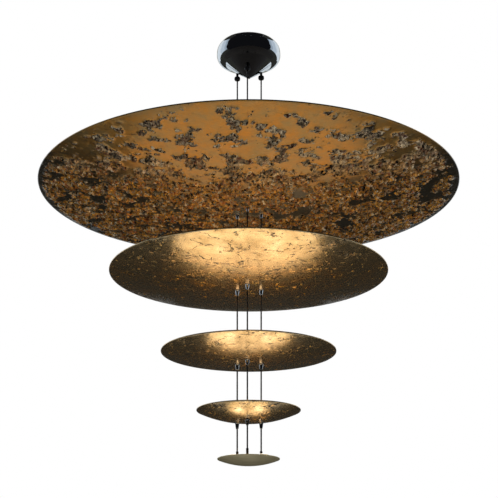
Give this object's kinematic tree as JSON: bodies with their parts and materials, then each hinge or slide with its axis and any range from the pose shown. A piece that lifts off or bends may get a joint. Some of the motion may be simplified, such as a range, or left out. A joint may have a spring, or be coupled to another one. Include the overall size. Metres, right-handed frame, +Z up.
{
  "type": "pendant lamp",
  "caption": "Ceiling pendant lamp: shallow gold-leafed dishes of falling size hang one under another on steel cables from a polished spinning-top canopy, lit by lamps that shine upwards.",
  "frame": {"origin": "middle of the ceiling plate's top face, on the ceiling", "axes": "+Z up into the ceiling; the lamp hangs towards -Z; -Y is the front, where one cable of the triangle stands"},
  "size_m": [1.5, 1.5, 1.5725],
  "materials": {
    "zinc_plated_steel": "zinc-plated sheet and bar, satin",
    "rubber": "moulded rubber pad, matt",
    "winding_tape": "ring winding wrapped in yellow polyester tape",
    "terminal_plastic": "moulded nylon",
    "polished_chrome": "spun, chrome-plated and mirror polished",
    "stop_chrome": "turned and chrome-plated",
    "dark_steel": "blackened turned steel, satin",
    "black_plastic": "moulded black nylon, satin",
    "steel_cable": "fine stranded steel, dull grey-brown",
    "crumpled_gold_leaf": "moulded glass-fibre shell under crumpled, patinated gold leaf, varnished",
    "cracked_gold_leaf": "moulded glass-fibre shell under smooth gold leaf with fine dark cracks, varnished",
    "satin_leaf": "moulded glass-fibre shell under satin grey-gold leaf",
    "brass": "brown patinated brass strip",
    "ceramic": "unglazed white ceramic",
    "lamp_glass": "clear front glass over an aluminium reflector, warm white when lit"
  },
  "bodies": {
    "canopy": {"ceiling_plate": "zinc_plated_steel", "centre_rod": "zinc_plated_steel", "transformer_pad": "rubber", "transformer": "winding_tape", "transformer_clamp": "zinc_plated_steel", "transformer_nut": "zinc_plated_steel", "terminal_block": "terminal_plastic", "carrier_plate": "zinc_plated_steel", "carrier_nut": "zinc_plated_steel", "canopy_dome": "polished_chrome", "finial_nut": "polished_chrome", "cable_nozzle_near": "dark_steel", "cable_nozzle_right": "dark_steel", "cable_nozzle_left": "dark_steel"},
    "hanging_dishes": {"cable_near": "steel_cable", "cable_right": "steel_cable", "cable_left": "steel_cable", "dish_1": "crumpled_gold_leaf", "dish_2": "cracked_gold_leaf", "dish_3": "cracked_gold_leaf", "dish_4": "cracked_gold_leaf", "dish_5": "satin_leaf", "cable_stop_1_near": "stop_chrome", "cable_stop_1_right": "stop_chrome", "cable_stop_1_left": "stop_chrome", "cable_stop_2_near": "stop_chrome", "cable_stop_2_right": "stop_chrome", "cable_stop_2_left": "stop_chrome", "cable_stop_3_near": "stop_chrome", "cable_stop_3_right": "stop_chrome", "cable_stop_3_left": "stop_chrome", "cable_stop_4_near": "stop_chrome", "cable_stop_4_right": "stop_chrome", "cable_stop_4_left": "stop_chrome", "cable_end_near": "dark_steel", "cable_end_right": "dark_steel", "cable_end_left": "dark_steel", "lamp_bar_2": "brass", "lampholder_2_left": "ceramic", "lampholder_2_right": "ceramic", "lamp_2_left": "lamp_glass", "lamp_2_right": "lamp_glass", "lamp_bar_3": "brass", "lampholder_3_left": "ceramic", "lampholder_3_right": "ceramic", "lamp_3_left": "lamp_glass", "lamp_3_right": "lamp_glass", "lamp_bar_4": "brass", "lampholder_4_left": "ceramic", "lampholder_4_right": "ceramic", "lamp_4_left": "lamp_glass", "lamp_4_right": "lamp_glass", "lamp_bar_5": "brass", "lampholder_5_left": "ceramic", "lampholder_5_right": "ceramic", "lamp_5_left": "lamp_glass", "lamp_5_right": "lamp_glass"},
    "grip_near": {"grip_knob_near": "black_plastic"},
    "grip_right": {"grip_knob_right": "black_plastic"},
    "grip_left": {"grip_knob_left": "black_plastic"}
  },
  "joints": [
    {"name": "height_slide", "type": "slide", "parent": "canopy", "child": "hanging_dishes", "axis": [0, 0, 1], "range_m": [-0.035, 0.04]},
    {"name": "grip_near_turn", "type": "hinge", "parent": "canopy", "child": "grip_near", "pos_m": [-0.00452, -0.05167, -0.126], "axis": [0, 0, -1], "range_deg": [0, 270]},
    {"name": "grip_right_turn", "type": "hinge", "parent": "canopy", "child": "grip_right", "pos_m": [0.04701, 0.02192, -0.126], "axis": [0, 0, -1], "range_deg": [0, 270]},
    {"name": "grip_left_turn", "type": "hinge", "parent": "canopy", "child": "grip_left", "pos_m": [-0.04249, 0.02975, -0.126], "axis": [0, 0, -1], "range_deg": [0, 270]}
  ]
}
